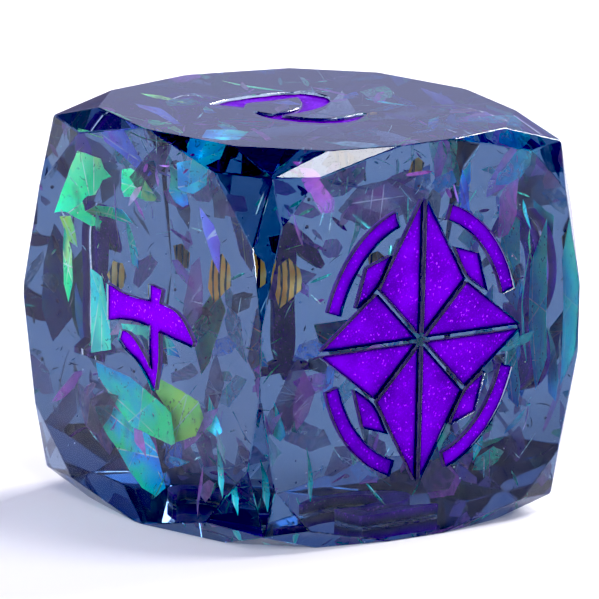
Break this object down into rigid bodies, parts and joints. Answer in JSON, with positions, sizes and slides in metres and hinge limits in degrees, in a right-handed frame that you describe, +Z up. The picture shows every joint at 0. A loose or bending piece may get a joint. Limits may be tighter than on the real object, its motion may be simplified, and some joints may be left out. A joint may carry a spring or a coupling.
{
  "type": "polyhedral die",
  "caption": "Cube-shaped tabletop die with faceted edges and corners, engraved painted numerals and a compass star, cast in clear resin around loose film and foil.",
  "frame": {"origin": "under the middle of the die, on the surface it stands on", "axes": "+Z up out of the face numbered 2; -Y out of the face with the star; -X out of the face numbered 4"},
  "size_m": [0.016, 0.0158, 0.016],
  "materials": {
    "resin": "clear tinted resin, polished",
    "paint": "violet glitter paint",
    "gold_foil": "torn gold-coloured foil",
    "film_green": "iridescent film, green",
    "film_lime": "iridescent film, lime",
    "film_cyan": "iridescent film, cyan",
    "film_blue": "iridescent film, blue",
    "film_violet": "iridescent film, violet",
    "film_plum": "iridescent film, plum"
  },
  "bodies": {
    "root": {"film_blue_11": "film_blue", "film_blue_16": "film_blue", "film_blue_31": "film_blue", "film_cyan_05": "film_cyan", "film_cyan_06": "film_cyan", "film_cyan_07": "film_cyan", "film_cyan_10": "film_cyan", "film_cyan_12": "film_cyan", "film_cyan_13": "film_cyan", "film_cyan_15": "film_cyan", "film_cyan_17": "film_cyan", "film_cyan_18": "film_cyan", "film_cyan_25": "film_cyan", "film_cyan_28": "film_cyan", "film_cyan_29": "film_cyan", "film_green_01": "film_green", "film_green_03": "film_green", "film_green_08": "film_green", "film_green_14": "film_green", "film_green_19": "film_green", "film_green_20": "film_green", "film_green_26": "film_green", "film_green_32": "film_green", "film_lime_02": "film_lime", "film_lime_09": "film_lime", "film_lime_27": "film_lime", "film_plum_21": "film_plum", "film_plum_22": "film_plum", "film_plum_23": "film_plum", "film_plum_24": "film_plum", "film_violet_04": "film_violet", "film_violet_30": "film_violet", "gold_foil_01": "gold_foil", "gold_foil_02": "gold_foil", "gold_foil_03": "gold_foil", "gold_foil_04": "gold_foil", "numeral_five_paint": "paint", "numeral_four_paint": "paint", "numeral_one_paint": "paint", "numeral_three_paint": "paint", "numeral_two_paint": "paint", "resin_body": "resin", "star_arc_ne_paint": "paint", "star_arc_nw_paint": "paint", "star_arc_se_paint": "paint", "star_arc_sw_paint": "paint", "star_diagonal_ne_paint": "paint", "star_diagonal_nw_paint": "paint", "star_diagonal_se_paint": "paint", "star_diagonal_sw_paint": "paint", "star_tall_ne_paint": "paint", "star_tall_nw_paint": "paint", "star_tall_se_paint": "paint", "star_tall_sw_paint": "paint", "star_wide_ne_paint": "paint", "star_wide_nw_paint": "paint", "star_wide_se_paint": "paint", "star_wide_sw_paint": "paint"}
  },
  "joints": []
}
